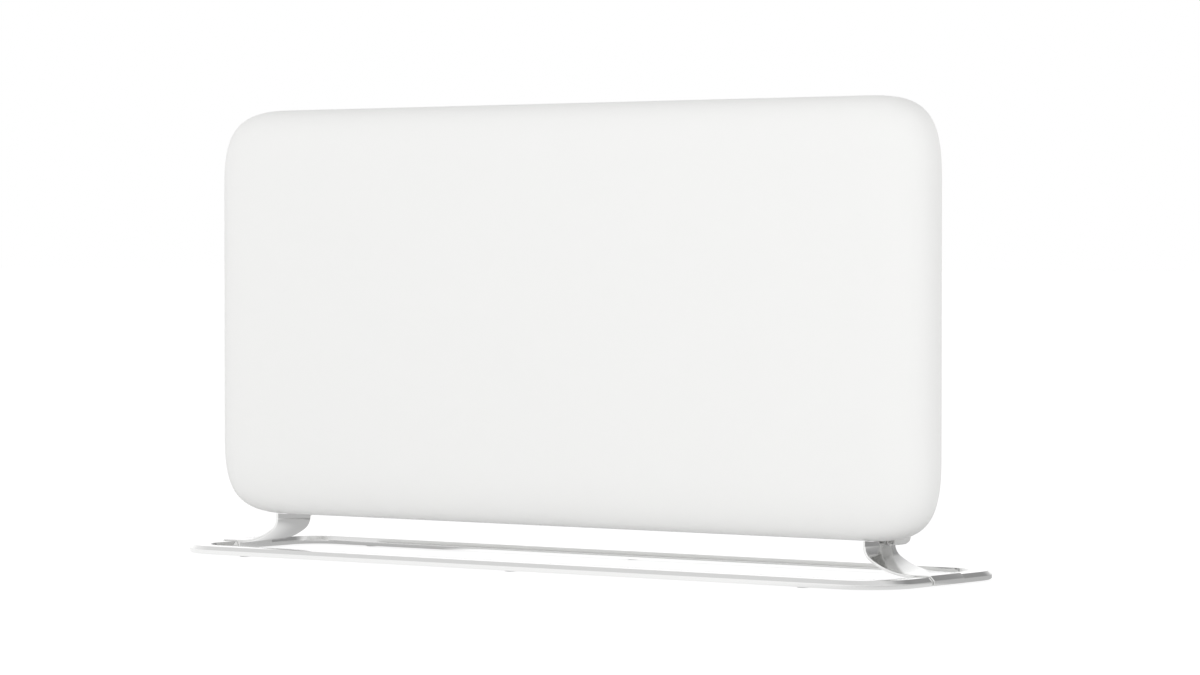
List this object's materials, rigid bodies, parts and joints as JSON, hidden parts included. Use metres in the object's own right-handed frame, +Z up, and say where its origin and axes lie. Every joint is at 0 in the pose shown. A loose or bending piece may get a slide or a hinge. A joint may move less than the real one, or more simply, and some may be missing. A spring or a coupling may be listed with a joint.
{
  "type": "floor-standing panel convector heater",
  "caption": "Electric convector heater: a soft-edged flat panel with a shallow rear casing, raised by two bent strip feet on a closed ring-shaped floor stand.",
  "frame": {"origin": "on the floor under the centre of the ring-shaped stand", "axes": "+X to the right seen from the front, +Y to the back, +Z up"},
  "size_m": [0.8482, 0.2148, 0.4389],
  "materials": {
    "stand_metal": "satin polished plating",
    "pad_rubber": "pale grey, matt",
    "socket_plastic": "fine grain",
    "screw_steel": "zinc plated",
    "panel_paint": "matt powder coat",
    "casing_paint": "matt powder coat",
    "grille_plastic": "fine grain",
    "duct_steel": "aluminised sheet",
    "element_aluminium": "extruded",
    "contact_brass": "plain",
    "bush_ceramic": "unglazed",
    "fascia_plastic": "fine grain",
    "window_plastic": "smoked gloss",
    "button_plastic": "satin",
    "board_laminate": "solder mask",
    "component_black": "moulded",
    "transformer_plastic": "taped winding",
    "capacitor_aluminium": "sleeved can",
    "terminal_plastic": "moulded",
    "weight_steel": "turned",
    "switch_plastic": "moulded",
    "rocker_plastic": "polished"
  },
  "bodies": {
    "heater": {"floor_ring": "stand_metal", "floor_pads": "pad_rubber", "foot_left": "stand_metal", "foot_right": "stand_metal", "foot_socket_left": "socket_plastic", "foot_socket_right": "socket_plastic", "foot_screws": "screw_steel", "socket_screws": "screw_steel", "front_panel": "panel_paint", "panel_screws": "screw_steel", "rear_casing": "casing_paint", "outlet_grille": "grille_plastic", "inlet_grille": "grille_plastic", "convection_duct": "duct_steel", "duct_screws": "screw_steel", "heating_element": "element_aluminium", "element_pins": "contact_brass", "element_bush_left": "bush_ceramic", "element_bush_right": "bush_ceramic", "thermal_cutout": "duct_steel", "cutout_screws": "screw_steel", "control_fascia": "fascia_plastic", "display_window": "window_plastic", "display_board": "board_laminate", "display_digits": "component_black", "key_switches": "component_black", "display_screws": "screw_steel", "power_board": "board_laminate", "board_standoffs": "contact_brass", "board_screws": "screw_steel", "relay": "component_black", "transformer": "transformer_plastic", "capacitor": "capacitor_aluminium", "terminal_block": "terminal_plastic", "terminal_screws": "contact_brass", "tilt_switch_frame": "duct_steel", "tilt_pin": "screw_steel", "tilt_sensor": "component_black", "mains_switch_housing": "switch_plastic", "cord_gland": "switch_plastic", "gland_nut": "switch_plastic", "room_sensor": "component_black", "sensor_clip": "terminal_plastic"},
    "button_power": {"button_power": "button_plastic"},
    "button_minus": {"button_minus": "button_plastic"},
    "button_plus": {"button_plus": "button_plastic"},
    "button_mode": {"button_mode": "button_plastic"},
    "mains_rocker": {"mains_rocker": "rocker_plastic"},
    "tilt_pendulum": {"tilt_pendulum": "weight_steel"}
  },
  "joints": [
    {"name": "power_press", "type": "slide", "parent": "heater", "child": "button_power", "axis": [0, 0, -1], "range_m": [0, 0.0012], "stiffness_N_per_m": 300},
    {"name": "minus_press", "type": "slide", "parent": "heater", "child": "button_minus", "axis": [0, 0, -1], "range_m": [0, 0.0012], "stiffness_N_per_m": 300},
    {"name": "plus_press", "type": "slide", "parent": "heater", "child": "button_plus", "axis": [0, 0, -1], "range_m": [0, 0.0012], "stiffness_N_per_m": 300},
    {"name": "mode_press", "type": "slide", "parent": "heater", "child": "button_mode", "axis": [0, 0, -1], "range_m": [0, 0.0012], "stiffness_N_per_m": 300},
    {"name": "mains_rock", "type": "hinge", "parent": "heater", "child": "mains_rocker", "pos_m": [0.258, 0.044, 0.092], "axis": [1, 0, 0], "range_deg": [0, 20]},
    {"name": "tilt_swing", "type": "hinge", "parent": "heater", "child": "tilt_pendulum", "pos_m": [0.262, 0.018, 0.178], "axis": [1, 0, 0], "range_deg": [-35, 35]}
  ]
}
